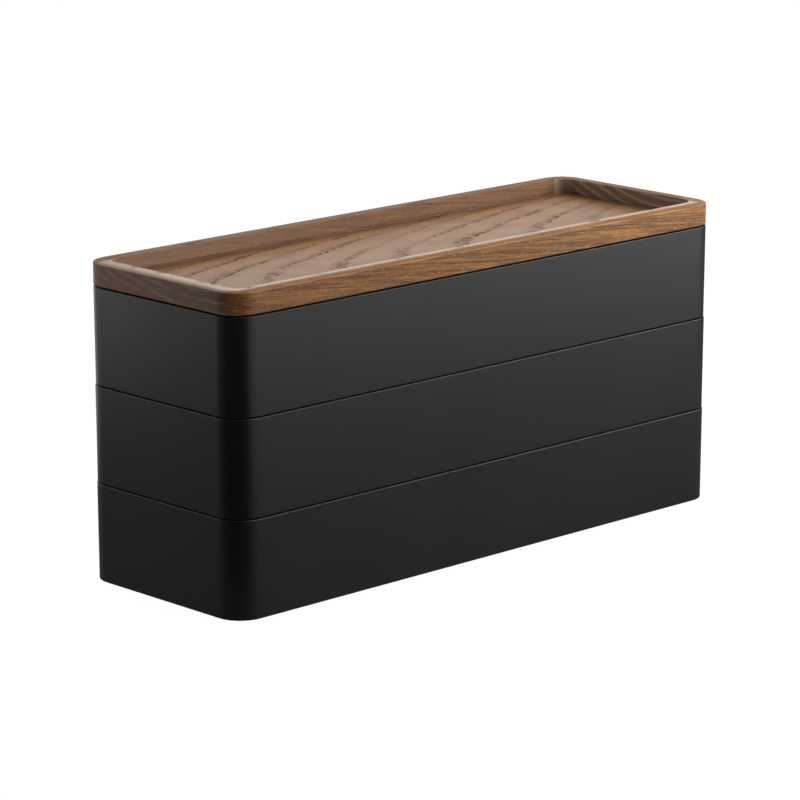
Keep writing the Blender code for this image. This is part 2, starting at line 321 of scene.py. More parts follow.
def ring_share(tree, place):
    """How far through its year's growth a point lies, from 0 to 1."""
    flat = computed(tree, 'MULTIPLY', place, (0, 1, 1), kind='VectorMath')
    radius = computed(tree, 'LENGTH', flat, kind='VectorMath', output='Value')
    ring = {'From Min': FIRST_RING, 'From Max': FIRST_RING + RING_WIDTH}
    years = add_node(tree, 'ShaderNodeMapRange', {'Value': radius, **ring}, clamp=False)
    return computed(tree, 'FRACT', years.outputs[0])


def squiggles(tree, place):
    """Thin crooked lines: where smooth noise crosses its middle value."""
    level = noise(tree, place, PORE_SIZE, detail=1.5)
    off_middle = computed(tree, 'SUBTRACT', level, NOISE_MIDDLE)
    return fading(tree, size_of(tree, off_middle), *PORE_LINE)


def growth(tree, place):
    """The figure of the wood: its early and late bands, pores, fibres and streaks."""
    log = add_node(tree, 'ShaderNodeMapping', {'Vector': place, 'Location': PITH_PLACE,
                   'Rotation': (0, PITH_FALL, 0)}, vector_type='TEXTURE').outputs[0]
    slow = pushed(tree, log, SLOW_WAVE_SIZE, SLOW_WAVE_REACH)
    share = ring_share(tree, pushed(tree, slow, QUICK_WAVE_SIZE, QUICK_WAVE_REACH))
    early = grey_ramp(tree, share, EARLY_STOPS)
    patch = between(tree, noise(tree, slow, PORE_PATCH), *PORE_PATCH_STEP)
    return SimpleNamespace(log=log, early=early, late=grey_ramp(tree, share, LATE_STOPS),
                           pores=times(tree, early, patch, squiggles(tree, log)),
                           fibre=noise(tree, log, FIBRE_SIZE, detail=5.0),
                           streak=noise(tree, slow, STREAK_SIZE, detail=3.0))


print("a ring of this board is", RING_WIDTH, "mm wide")

# %% [markdown]
# ## Parts of the lid
# One board looks different where it was cut another way or is handled more. Each share
# below says how far a point belongs to such a part: the level faces, the ends that are
# cut across the fibres, the inside of the milled tray and the low edge round its floor,
# the rim, and the rim's lip. Hands burnish the rim in front and at the left, which makes
# it smoother, and there its colour carries a painted highlight; its outer lip in front
# is not burnished. The rim on the far sides is not burnished either, and carries painted
# shade. Painted shade also lies along the floor's low edge by the back and end walls.
# Most places are measured inwards from the lid's own faces, in millimetres.

# %% Parts of the lid
HALF_LENGTH = LENGTH / 2 / MM
HALF_WIDTH = WIDTH / 2 / MM
POCKET_DEPTH = 5.9 * MM
LEVEL_STEP = (0.55, 0.9)
END_STEP = (0.78, 0.98)
SLOPE_STEP = (0.972, 0.998)
POCKET_FADE = (4.5, 3.5)
RIM_FADE = (2.5, 2.0)
FRONT_FADE = (10.0, 16.0)
LEFT_FADE = (12.0, 18.0)
LEFT_POLISH_AND_HIGHLIGHT = (-20.0, 30.0, 1.0, 0.35)
LIP_FADE = (3.8, 2.6)
BACK_FADE = (10.0, 6.0)
RIGHT_FADE = (9.0, 5.0)
LOW_EDGE = (0.2, 1.2)
# reach of the painted shade along the back and end walls
WALL_SHADE_FADE = (15.0, 6.0)
BARE_PORES = 0.9
PORES_BY_PART = (0.0, 1.0, 0.12, 1.0)


def from_face(half, fade):
    """Two places measured inwards from an outer face."""
    return half - fade[0], half - fade[1]


def near_middle(tree, value, half):
    """1 between the pocket's walls and 0 at the lid's outer faces."""
    return fading(tree, size_of(tree, value), *from_face(half, POCKET_FADE))


def rim_parts(tree, x, y, rim):
    """The front, the lip, the far rim with painted shade, the burnished rim with painted
    highlight.
    """
    front = fading(tree, y, FRONT_FADE[0] - HALF_WIDTH, FRONT_FADE[1] - HALF_WIDTH)
    left = times(tree, fading(tree, x, LEFT_FADE[0] - HALF_LENGTH, LEFT_FADE[1] - HALF_LENGTH),
                 between(tree, y, *LEFT_POLISH_AND_HIGHLIGHT))
    # the rim on the far sides joins the lip: rougher, and painted with shade
    far_side = larger(tree, between(tree, y, *from_face(HALF_WIDTH, BACK_FADE)),
                      between(tree, x, *from_face(HALF_LENGTH, RIGHT_FADE)))
    outer = between(tree, size_of(tree, y), *from_face(HALF_WIDTH, LIP_FADE))
    lip = times(tree, rim, larger(tree, outer, far_side))
    # where the rim is smoother, and where its colour carries a painted highlight
    polished = times(tree, rim, larger(tree, front, left), fading(tree, lip))
    return {"front": front, "lip": lip, "polished": polished}


def painted_shade_by_walls(tree, x, y, low):
    """The tray's low edge along its back wall and its ends, where painted shade lies."""
    beside = larger(tree, between(tree, size_of(tree, x), *from_face(HALF_LENGTH, WALL_SHADE_FADE)),
                    between(tree, y, *from_face(HALF_WIDTH, WALL_SHADE_FADE)))
    return times(tree, low, beside)


def lid_parts(tree, place, normal, top):
    """Shares from 0 to 1 of each part of the lid, and the sockets that they come from."""
    x, y, z = parts_of(tree, place)
    side_x, side_y, side_z = parts_of(tree, normal)
    level = between(tree, size_of(tree, side_z), *LEVEL_STEP)
    inside = times(tree, near_middle(tree, x, HALF_LENGTH), near_middle(tree, y, HALF_WIDTH))
    rim = times(tree, level, between(tree, z, *from_face(top / MM, RIM_FADE)))
    floor_height = (top - POCKET_DEPTH) / MM
    low = times(tree, inside, fading(tree, z, *[floor_height + rise for rise in LOW_EDGE]))
    milled_or_floor = computed(tree, 'MULTIPLY_ADD', inside, BARE_PORES,
                               computed(tree, 'SUBTRACT', level, rim), use_clamp=True)
    return SimpleNamespace(x=x, y=y, z=z, facing_up=side_z, level=level, inside=inside,
                           rim=rim, low=low, both_ways=times(tree, side_x, side_y),
                           cut_across=between(tree, size_of(tree, side_x), *END_STEP),
                           slope=fading(tree, side_z, *SLOPE_STEP),
                           wall_shade_mask=painted_shade_by_walls(tree, x, y, low),
                           bare_pores=between(tree, milled_or_floor, *PORES_BY_PART),
                           **rim_parts(tree, x, y, rim))


print("the lid is", round(2 * HALF_LENGTH, 1), "by", round(2 * HALF_WIDTH, 1), "mm")

# %% [markdown]
# ## The colours of stained ash
# The sides are golden brown with dark fibres and bright flecks. Painted light makes them
# lighter and more golden towards the right end. Level faces are calmer; the rim's crest
# carries a painted highlight, and its slope and far sides carry painted shade. The ends
# drink more stain and show pale lines of late wood, with painted shade towards the front
# corner. Painted light lightens the tray's walls, most at the left, a painted highlight
# lies in two of the tray's corners, and painted shade lies along its back and end walls
# at the floor. Last, a painted golden highlight runs along the front edge.

# %% Colours of the ash
GOLD = ("#8f5726", "#ad702b")
GOLD_STEP = (0.36, 0.64)
# painted light: the long sides grow lighter and more golden towards the right end
RIGHT_PAINTED_LIGHT = "#c98f4a"
RIGHT_STEP = (-110.0, 110.0)
RIGHT_LIGHT_SHARE = 0.45
DARK_FIBRE = "#603a1b"
DARK_FIBRE_STEP = (0.4, 0.62, 0.0, 0.8)
GRAIN_SIZE = (5.0, 1.2, 0.4)
GRAIN = "#54331a"
GRAIN_STEP = (0.42, 0.62, 0.0, 0.4)
FLECK_SIZE = (1.6, 0.9, 0.6)
FLECK = "#cf9a58"
FLECK_STEP = (0.6, 0.72, 0.0, 0.4)
CALM = ("#9e6f45", "#b08051")
CALM_STEP = (0.3, 0.7)
# painted highlight: pale colours for the rim's level crest, brightest in front
LEFT_RIM_PAINTED_HIGHLIGHT = "#c4996f"
FRONT_RIM_PAINTED_HIGHLIGHT = "#d2ad85"
# painted shade: darker colour where the rim's crown slopes down to its outer edge
RIM_SLOPE_PAINTED_SHADE = "#7b5130"
RIM_HIGHLIGHT_SHARE = 0.8
# painted shade: darker colour of the rim on the back and right sides
FAR_RIM_PAINTED_SHADE = "#77502f"
FRONT_LIP = "#c98544"
FRONT_LIP_SHARE = 0.35
LIP_SHARE = 0.9
EARLY_WOOD = "#6f472c"
EARLY_SHARE = 0.22
PORE = "#513320"
PORE_SHARE = 0.9
END_GROUND = ("#684530", "#7b553c")
END_FIBRE_STEP = (0.35, 0.65)
# painted shade: the ends darker towards the front corner
END_PAINTED_SHADE = "#4e301b"
END_SHADE_STEP = (-36.0, -12.0, 0.45, 0.0)
# painted light: paler colour on the tray's inner end walls
END_WALL_PAINTED_LIGHT = "#9c8574"
END_WALL_LIGHT_SHARE = 0.3
END_LINES = ("#92745c", "#c9b5a2")
END_PATCH = (30.0, 11.0, 5.0)
END_PATCH_STEP = (0.4, 0.6, 0.15, 0.8)
# painted light: paler tray walls, strongest at the left end
WALL_PAINTED_LIGHT = "#b79a84"
WALL_LIGHT_BY_SLOPE = (0.0, 1.0, 0.32, 0.0)
WALL_LIGHT_BY_PLACE = (-110.0, 40.0, 1.8, 0.8)
# painted shade: darker colour on the floor's low edge by the back and end walls
PAINTED_WALL_SHADE = "#4a2c18"
WALL_SHADE_SHARE = 0.55
# painted highlight: light grey in the tray's corners that face the camera and away
CORNER_PAINTED_HIGHLIGHT = "#c2b6aa"
CORNER_HIGHLIGHT_STEP = (0.05, 0.3, 0.0, 0.75)
# painted highlight: golden line along the front's upper edge, in patches
FRONT_EDGE_PAINTED_HIGHLIGHT = "#d8a468"
EDGE_HIGHLIGHT_HEIGHT = (1.6, 1.2)
EDGE_HIGHLIGHT_SLOPE = [(0.05, 0.0), (0.3, 1.0), (0.8, 1.0), (0.92, 0.0)]
EDGE_HIGHLIGHT_PATCH_STEP = (0.38, 0.62, 0.15, 0.8)


def side_colour(tree, wood, part):
    """Golden, fibrous wood of the long sides, with painted light towards the right end."""
    gold = mixed(tree, between(tree, wood.streak, *GOLD_STEP), *GOLD)
    outside = computed(tree, 'SUBTRACT', 1.0, part.inside)
    # painted light, stronger towards the right end of the outer sides
    to_right = between(tree, part.x, *RIGHT_STEP)
    gold = mixed(tree, times(tree, to_right, outside, RIGHT_LIGHT_SHARE), gold, RIGHT_PAINTED_LIGHT)
    gold = mixed(tree, between(tree, wood.fibre, *DARK_FIBRE_STEP), gold, DARK_FIBRE)
    grain = between(tree, noise(tree, wood.log, GRAIN_SIZE), *GRAIN_STEP)
    fleck = between(tree, noise(tree, wood.log, FLECK_SIZE, detail=1.0), *FLECK_STEP)
    return mixed(tree, fleck, mixed(tree, grain, gold, GRAIN), FLECK)


def level_colour(tree, wood, part, side):
    """Calm wood of floor and rim; the crest's painted highlight, its slope's painted shade,
    the lip.
    """
    calm = mixed(tree, between(tree, wood.streak, *CALM_STEP), *CALM)
    # painted highlight on the rim's crest, paler in front than at the left
    rim_highlight = mixed(tree, part.front, LEFT_RIM_PAINTED_HIGHLIGHT, FRONT_RIM_PAINTED_HIGHLIGHT)
    # painted shade on the crown's slope, painted highlight on its level part
    crest = mixed(tree, part.slope, rim_highlight, RIM_SLOPE_PAINTED_SHADE)
    calm = mixed(tree, times(tree, part.polished, RIM_HIGHLIGHT_SHARE), calm, crest)
    front_lip = mixed(tree, FRONT_LIP_SHARE, side, FRONT_LIP)
    # painted shade on the far sides' rim; the front lip keeps the side's colour
    lip = mixed(tree, part.front, FAR_RIM_PAINTED_SHADE, front_lip)
    return mixed(tree, times(tree, part.lip, LIP_SHARE), calm, lip)


def end_colour(tree, wood, part):
    """Darker end wood with late-wood lines, painted shade by the front corner, painted light
    inside.
    """
    patch = between(tree, noise(tree, wood.log, END_PATCH, detail=1.0), *END_PATCH_STEP)
    late = times(tree, wood.late, larger(tree, patch, part.inside))
    ground = mixed(tree, between(tree, wood.fibre, *END_FIBRE_STEP), *END_GROUND)
    # painted shade towards the front corner of the ends
    ground = mixed(tree, between(tree, part.y, *END_SHADE_STEP), ground, END_PAINTED_SHADE)
    # painted light on the tray's inner end walls
    ground = mixed(tree, times(tree, part.inside, END_WALL_LIGHT_SHARE), ground, END_WALL_PAINTED_LIGHT)
    return mixed(tree, late, ground, mixed(tree, part.inside, *END_LINES))


def painted_light_and_shade(tree, wood, part, colour, top):
    """Painted light on the tray's walls, painted shade at their foot, painted highlights on
    corner and edge.
    """
    # painted light on the tray's walls, stronger towards the left end
    wall_light = times(tree, part.inside, between(tree, part.level, *WALL_LIGHT_BY_SLOPE),
                   between(tree, part.x, *WALL_LIGHT_BY_PLACE), fading(tree, part.low))
    colour = mixed(tree, wall_light, colour, WALL_PAINTED_LIGHT)
    # painted shade along the foot of the back and end walls
    colour = mixed(tree, times(tree, part.wall_shade_mask, WALL_SHADE_SHARE), colour, PAINTED_WALL_SHADE)
    # painted highlight in two of the tray's inner corners
    corner_highlight = times(tree, part.inside, between(tree, part.both_ways, *CORNER_HIGHLIGHT_STEP))
    colour = mixed(tree, corner_highlight, colour, CORNER_PAINTED_HIGHLIGHT)
    # painted golden highlight along the front's upper edge
    edge_highlight = times(tree, part.front,
                 between(tree, part.z, *from_face(top / MM, EDGE_HIGHLIGHT_HEIGHT)),
                 grey_ramp(tree, part.facing_up, EDGE_HIGHLIGHT_SLOPE),
                 between(tree, wood.streak, *EDGE_HIGHLIGHT_PATCH_STEP))
    return mixed(tree, edge_highlight, colour, FRONT_EDGE_PAINTED_HIGHLIGHT)


print("golden wood", *GOLD, "with pores", PORE)

# %% [markdown]
# ## Oil over the wood
# Oil fills the wood unevenly: the fibres stay a little rough, the tray's floor is more
# even, hands have polished the rim's crest, and open pores hold no oil at all. The same
# fibres and pores are pressed a few hundredths of a millimetre into the surface.

# %% Oiled ash
FIBRE_GLOSS_STEP = (0.3, 0.7, 0.44, 0.52)
FLOOR_ROUGHNESS = 0.38
LIP_ROUGHNESS = 0.52
RIM_ROUGHNESS = 0.18
RIM_GLOSS_BY_SLOPE = (0.0, 1.0, 1.0, 0.4)
PORE_ROUGHNESS = 0.9
FIBRE_RELIEF = 0.2
RIM_RELIEF = (0.0, 1.0, 1.0, 0.1)
RELIEF_DEPTH = 0.06 * MM
RELIEF_STRENGTH = 0.3


def oil_roughness(tree, wood, part, pores):
    """Roughness of the oiled face."""
    gloss = between(tree, wood.fibre, *FIBRE_GLOSS_STEP)
    gloss = blended(tree, part.level, gloss, FLOOR_ROUGHNESS)
    gloss = blended(tree, part.lip, gloss, LIP_ROUGHNESS)
    crest = times(tree, part.polished, between(tree, part.slope, *RIM_GLOSS_BY_SLOPE))
    gloss = blended(tree, crest, gloss, RIM_ROUGHNESS)
    return blended(tree, pores, gloss, PORE_ROUGHNESS)


def wood_relief(tree, wood, part, pores):
    """Normals with the fibres and pores pressed in, less so on the burnished rim."""
    hollow = computed(tree, 'MULTIPLY_ADD', wood.fibre, FIBRE_RELIEF, pores)
    hollow = times(tree, hollow, between(tree, part.rim, *RIM_RELIEF))
    return relief(tree, hollow, RELIEF_STRENGTH, RELIEF_DEPTH, invert=True)


def ash_material(top):
    """Solid figure of stained ash under oil, burnished on the rim, with painted light and
    shade.
    """
    material, tree, shader = new_material("stained_ash_oiled", Roughness=0.46, IOR=1.47)
    place, normal = coordinates(tree)
    wood = growth(tree, place)
    part = lid_parts(tree, place, normal, top)
    pores = times(tree, wood.pores, part.bare_pores)
    side = side_colour(tree, wood, part)
    face = mixed(tree, part.level, side, level_colour(tree, wood, part, side))
    face = mixed(tree, times(tree, wood.early, EARLY_SHARE), face, EARLY_WOOD)
    face = mixed(tree, times(tree, pores, PORE_SHARE), face, PORE)
    colour = mixed(tree, part.cut_across, face, end_colour(tree, wood, part))
    # painted light, shade and highlights laid over the wood's colour
    colour = painted_light_and_shade(tree, wood, part, colour, top)
    feed(tree, shader, Base_Color=colour, Roughness=oil_roughness(tree, wood, part, pores),
         Normal=wood_relief(tree, wood, part, pores))
    return material


ash = ash_material(cad_high.z)
print(ash.name, "has", len(ash.node_tree.nodes), "nodes")

# %% [markdown]
# ## Satin black ABS
# The trays and dividers are injection-moulded ABS from a spark-eroded mould. The
# plastic is nearly black all through, so almost all that the eye sees is the room's
# light on its surface: the fine texture spreads each reflection into a soft satin glow.
# The texture's grains are a quarter of a millimetre, too fine to be counted in a
# picture, but they keep the shine from looking like glass.

# %% ABS
SPARK_GRAIN = 0.28
SPARK_STEP = (0.3, 0.7)
SPARK_STRENGTH = 0.25
SPARK_DEPTH = 0.01 * MM
BLACKS = ("#0d0d0e", "#111112")
FLOW_SIZE = 45.0
FLOW_GLOSS_STEP = (0.3, 0.7, 0.38, 0.41)


def abs_material():
    """Satin moulded plastic, black all through."""
    material, tree, shader = new_material("satin_black_abs_moulded", Roughness=0.4, IOR=1.53)
    place = coordinates(tree)[0]
    spark = noise(tree, place, (SPARK_GRAIN,) * 3, detail=3.0)
    flow = noise(tree, place, (FLOW_SIZE,) * 3, detail=1.0)
    feed(tree, shader, Base_Color=mixed(tree, between(tree, spark, *SPARK_STEP), *BLACKS),
         Roughness=between(tree, flow, *FLOW_GLOSS_STEP),
         Normal=relief(tree, spark, SPARK_STRENGTH, SPARK_DEPTH))
    return material


black_abs = abs_material()
print(black_abs.name, "has", len(black_abs.node_tree.nodes), "nodes")

# %% [markdown]
# ## Velour and silicone
# The insides are lined with charcoal velour, a short nap on a knitted back. Its pile
# lies this way and that, which gives soft patches, and its tips glow at the edges.
# The feet are black silicone, rubbery and a little dusty.

# %% Velour and silicone
NAP_GRAIN = 0.45
NAP_STEP = (0.35, 0.65, 0.0, 0.6)
NAP_STRENGTH = 0.6
NAP_DEPTH = 0.12 * MM
NAP_SHADE = "#393634"
LAID_PATCH = (14.0, 9.0, 9.0)
LAID_STEP = (0.38, 0.66)
CHARCOALS = ("#4b4845", "#575350")
NAP_SHEEN = "#a59d95"
DUST_SIZE = 1.2
DUST_STEP = (0.4, 0.8)
DUST_GLOSS_STEP = (0.3, 0.7, 0.62, 0.78)
RUBBER_AND_DUST = ("#161616", "#2b2a29")


def velour_material():
    """Short-pile fabric with patches where the nap lies over."""
    material, tree, shader = new_material("charcoal_velour_napped", Roughness=0.95,
                                          Sheen_Weight=0.35, Sheen_Roughness=0.5,
                                          Sheen_Tint=NAP_SHEEN)
    place = coordinates(tree)[0]
    nap = noise(tree, place, (NAP_GRAIN,) * 3, detail=3.0)
    laid = between(tree, noise(tree, place, LAID_PATCH), *LAID_STEP)
    ground = mixed(tree, laid, *CHARCOALS)
    feed(tree, shader, Normal=relief(tree, nap, NAP_STRENGTH, NAP_DEPTH),
         Base_Color=mixed(tree, between(tree, nap, *NAP_STEP), ground, NAP_SHADE))
    return material


def silicone_material():
    """Matte rubber with a trace of dust."""
    material, tree, shader = new_material("black_silicone_moulded", Roughness=0.7, IOR=1.41)
    dust = noise(tree, coordinates(tree)[0], (DUST_SIZE,) * 3, detail=4.0)
    feed(tree, shader, Roughness=between(tree, dust, *DUST_GLOSS_STEP),
         Base_Color=mixed(tree, between(tree, dust, *DUST_STEP), *RUBBER_AND_DUST))
    return material


velour = velour_material()
silicone = silicone_material()
print("soft finishes:", velour.name, silicone.name)

# %% [markdown]
# ## From a block to a tray
# Every tray is a rounded block whose top and bottom faces are inset again and again. An
# even inset keeps the corners concentric and moves the face in and up or down, so one
# list of (inset, height) pairs is the whole section of a wall: up over the rim, down the
# inside and onto the floor. Rounded edges are arcs in that list. Then normals are
# weighted by area, so that flat walls stay flat beside their small radii.

# %% Helpers for trays
CORNER_STEPS = 24
EDGE_STEPS = 5
FLAT_ANGLE = math.radians(40)


def bevel_edges(bm, edges, radius, steps):
    """Round some edges of a body."""
    bmesh.ops.bevel(bm, geom=edges, offset=radius, offset_type='OFFSET', segments=steps,
                    profile=0.5, affect='EDGES', clamp_overlap=True, material=-1)


def box_mesh(low, high):
    """Plain block between two corners."""
    bm = bmesh.new()
    bmesh.ops.create_cube(bm, size=1)
    bmesh.ops.scale(bm, vec=Vector(high) - Vector(low), verts=bm.verts)
    bmesh.ops.translate(bm, vec=(Vector(low) + Vector(high)) / 2, verts=bm.verts)
    return bm


def rounded_block(length, width, low, high, radius):
    """Upright block with rounded vertical corners."""
    bm = box_mesh((-length / 2, -width / 2, low), (length / 2, width / 2, high))
    upright = [edge for edge in bm.edges
               if abs(edge.verts[0].co.z - edge.verts[1].co.z) > (high - low) / 2]
    bevel_edges(bm, upright, radius, CORNER_STEPS)
    return bm


def end_face(bm, up):
    """The top face for up = 1 and the bottom face for up = -1."""
    return max(bm.faces, key=lambda face: up * face.calc_center_median().z)


def arc(inset, z, radius, start, end):
    """Rounded stretch of a section: 0 degrees looks out of the box, 90 looks up."""
    points = []
    for step in range(EDGE_STEPS + 1):
        angle = math.radians(start + (end - start) * step / EDGE_STEPS)
        points.append((inset - radius * math.cos(angle), z + radius * math.sin(angle)))
    return points


def follow(bm, face, up, section):
    """Inset a face along a section; its first point is where the face already is."""
    for (inset, z), (next_inset, next_z) in zip(section, section[1:]):
        bmesh.ops.inset_region(bm, faces=[face], thickness=max(next_inset - inset, 0),
                               depth=up * (next_z - z), use_even_offset=True,
                               use_boundary=True)


def make_object(name, bm, material):
    """Smooth-shaded object from a bmesh, sharp only at its real creases."""
    mesh = bpy.data.meshes.new(name)
    bm.to_mesh(mesh)
    bm.free()
    mesh.shade_smooth()
    mesh.set_sharp_from_angle(angle=FLAT_ANGLE)
    mesh.materials.append(material)
    piece = bpy.data.objects.new(name, mesh)
    bpy.context.scene.collection.objects.link(piece)
    return piece


def dress(piece, body, slot, *nodes):
    """Weight the normals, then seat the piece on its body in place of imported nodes."""
    weighted = piece.modifiers.new("flat_walls_stay_flat", 'WEIGHTED_NORMAL')
    weighted.keep_sharp = True
    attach(piece, body)
    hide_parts(*nodes)
    print(piece.name, len(piece.data.polygons), "faces on", body)
    return piece


print("a corner has", CORNER_STEPS, "steps and a small edge", EDGE_STEPS)

# %% [markdown]
# ## The lid
# The lid is a board 8.5 mm thick. A cutter has milled the tray in its top and left a
# small fillet round its floor. The rim has a fine outer edge and then a crown, which
# rises by half a millimetre to the level inner part. Underneath, a tongue drops inside
# the rim of the top tray, and the board round it stands a little high, which draws a
# shadow line. The cutter is 11 mm thick, so the tray's corners are rounder than a plain
# inset would leave them, and are moved to its radius before the wall goes down.

# %% Lid
PLAN_RADIUS = 10 * MM
NEST_INSET = 2.6 * MM
NEST_DEPTH = 2.2 * MM
MOULD_EDGE = 0.36 * MM
RIM_WIDTH = 6.0 * MM
RIM_EDGE = 0.35 * MM
CROWN_WIDTH = 2.8 * MM
CROWN_DROP = 0.55 * MM
CROWN_STEPS = 8
CUTTER_RADIUS = 5.5 * MM
POCKET_FILLET = 0.45 * MM
SHADOW_LINE = 0.25 * MM


def round_corners(face, old_radius, new_radius):
    """Give a face's corners another radius, with its straight sides where they were."""
    reach_x = max(vert.co.x for vert in face.verts) - old_radius
    reach_y = max(vert.co.y for vert in face.verts) - old_radius
    wider = new_radius - old_radius
    for vert in face.verts:
        lengthwise = (abs(vert.co.x) - reach_x) / old_radius
        across = (abs(vert.co.y) - reach_y) / old_radius
        vert.co.x -= math.copysign(wider * (1 - lengthwise), vert.co.x)
        vert.co.y -= math.copysign(wider * (1 - across), vert.co.y)


def rim_section(top):
    """Small outer edge, then a crown that rises to the level inner part of the rim."""
    steepest = 2 * CROWN_DROP / CROWN_WIDTH
    lean = 90 - math.degrees(math.atan(steepest))
    start = arc(RIM_EDGE, 0, RIM_EDGE, 0, lean)
    shift = start[-1][0]
    rise = CROWN_DROP * (1 - shift / CROWN_WIDTH) ** 2
    section = [(inset, top - rise - start[-1][1] + z) for inset, z in start]
    for step in range(1, CROWN_STEPS + 1):
        inset = shift + (CROWN_WIDTH - shift) * step / CROWN_STEPS
        section.append((inset, top - CROWN_DROP * (1 - inset / CROWN_WIDTH) ** 2))
    return section + [(RIM_WIDTH - RIM_EDGE, top)]


def lid_mesh(tongue, top):
    """Board with a milled tray above and a tongue below."""
    shoulder = tongue + NEST_DEPTH + SHADOW_LINE
    outer = rim_section(top)
    bm = rounded_block(LENGTH, WIDTH, shoulder + MOULD_EDGE, outer[0][1], PLAN_RADIUS)
    face = end_face(bm, 1)
    follow(bm, face, 1, outer)
    round_corners(face, PLAN_RADIUS - RIM_WIDTH + RIM_EDGE, CUTTER_RADIUS + RIM_EDGE)
    floor = top - POCKET_DEPTH
    inner = arc(RIM_WIDTH - RIM_EDGE, top - RIM_EDGE, RIM_EDGE, 90, 180)
    inner += arc(RIM_WIDTH + POCKET_FILLET, floor + POCKET_FILLET, POCKET_FILLET, 0, -90)
    follow(bm, face, 1, inner)
    base = arc(MOULD_EDGE, shoulder + MOULD_EDGE, MOULD_EDGE, 360, 270)
    base.append((NEST_INSET, shoulder))
    base += arc(NEST_INSET + MOULD_EDGE, tongue + MOULD_EDGE, MOULD_EDGE, 360, 270)
    follow(bm, end_face(bm, -1), -1, base)
    return bm


lid_low, lid_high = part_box("lid_tray")
lid = make_object("lid_tray_ash", lid_mesh(lid_low.z, lid_high.z), ash)
dress(lid, "lid", "stained_wood", "lid_tray")

# %% [markdown]
# ## The moulded trays
# A moulded wall is the same thickness nearly everywhere and leans a little, so that the
# part leaves its mould: a quarter of a degree outside and inside. The two upper trays
# have a foot that drops inside the rim below, and their floor is drawn down with it. The
# guide ribs for the dividers are joined on with a Boolean, and its result is kept as a
# plain mesh.

# %% Trays
WALL = 2.2 * MM
FLOOR = 2.0 * MM
DRAFT = 0.15 * MM
FLOOR_FILLET = 0.8 * MM
RIB_WIDTH = 1.2 * MM
RIB_DEPTH = 1.5 * MM
RIB_BELOW_RIM = 7.0 * MM
GUIDE_CLEARANCE = 0.3 * MM


def inner_section(base, top):
    """Over the rim, down the inner wall and through the fillet onto the floor."""
    section = arc(MOULD_EDGE, top - MOULD_EDGE, MOULD_EDGE, 0, 90)
    section += arc(WALL - MOULD_EDGE, top - MOULD_EDGE, MOULD_EDGE, 90, 180)
    section += arc(WALL + DRAFT + FLOOR_FILLET, base + FLOOR + FLOOR_FILLET, FLOOR_FILLET,
                   0, -90)
    return section


def tray_mesh(base, top, nests):
    """Tray between its shoulder and its rim; one that nests has a foot and a sunk pan."""
    bm = rounded_block(LENGTH, WIDTH, base + MOULD_EDGE, top - MOULD_EDGE, PLAN_RADIUS)
    lower = [vert for vert in bm.verts if vert.co.z < (base + top) / 2]
    lean = (1 - 2 * DRAFT / LENGTH, 1 - 2 * DRAFT / WIDTH, 1)
    bmesh.ops.scale(bm, vec=lean, verts=lower)
    section = inner_section(base, top)
    under = arc(DRAFT + MOULD_EDGE, base + MOULD_EDGE, MOULD_EDGE, 360, 270)
    if nests:
        pan = NEST_INSET + FLOOR
        sunk = base + FLOOR - NEST_DEPTH
        section += arc(pan - MOULD_EDGE, base + FLOOR - MOULD_EDGE, MOULD_EDGE, 90, 180)
        section += arc(pan + MOULD_EDGE, sunk + MOULD_EDGE, MOULD_EDGE, 0, -90)
        under.append((NEST_INSET, base))
        under += arc(NEST_INSET + MOULD_EDGE, base - NEST_DEPTH + MOULD_EDGE, MOULD_EDGE,
                     360, 270)
    follow(bm, end_face(bm, -1), -1, under)
    follow(bm, end_face(bm, 1), 1, section)
    return bm


def rib_mesh(x, side, base, top):
    """One guide rib on a long wall, its upper front edge cut back as a lead-in."""
    outer = WIDTH / 2 - WALL / 2
    inner = WIDTH / 2 - WALL - DRAFT - RIB_DEPTH
    near, far = sorted((side * inner, side * outer))
    bm = box_mesh((x - RIB_WIDTH / 2, near, base + FLOOR / 2),
                  (x + RIB_WIDTH / 2, far, top - RIB_BELOW_RIM))
    lead_in = [edge for edge in bm.edges
               if all(vert.co.z > top - RIB_BELOW_RIM - MM for vert in edge.verts)
               and all(abs(vert.co.y) < (inner + outer) / 2 for vert in edge.verts)]
    bevel_edges(bm, lead_in, RIB_DEPTH, 1)
    return bm


def append_mesh(bm, extra):
    """Add one bmesh's faces to another."""
    scratch = bpy.data.meshes.new("scratch")
    extra.to_mesh(scratch)
    extra.free()
    bm.from_mesh(scratch)
    bpy.data.meshes.remove(scratch)


def joined(piece, extra):
    """Unite a piece with a helper body and keep only the united mesh."""
    helper = make_object("helper", extra, piece.data.materials[0])
    union = piece.modifiers.new("union", 'BOOLEAN')
    union.operation = 'UNION'
    union.object = helper
    bpy.context.view_layer.update()
    graph = bpy.context.evaluated_depsgraph_get()
    united = bpy.data.meshes.new_from_object(piece.evaluated_get(graph))
    piece.modifiers.remove(union)
    bpy.data.objects.remove(helper)
    piece.data = united
    united.shade_smooth()
    united.set_sharp_from_angle(angle=FLAT_ANGLE)


def add_tray(body, nests, dividers):
    """Tray of a body, with a pair of ribs on both walls for each divider."""
    node = body + "_tier"
    low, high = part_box(node)
    base = low.z + (NEST_DEPTH if nests else 0)
    tray = make_object(node + "_shell", tray_mesh(base, high.z, nests), black_abs)
    if dividers:
        ribs = bmesh.new()
        for name in dividers:
            near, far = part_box(name)
            for x in (near.x - GUIDE_CLEARANCE - RIB_WIDTH / 2,
                      far.x + GUIDE_CLEARANCE + RIB_WIDTH / 2):
                for side in (-1, 1):
                    append_mesh(ribs, rib_mesh(x, side, base, high.z))
        joined(tray, ribs)
    dress(tray, body, "black_abs", node)


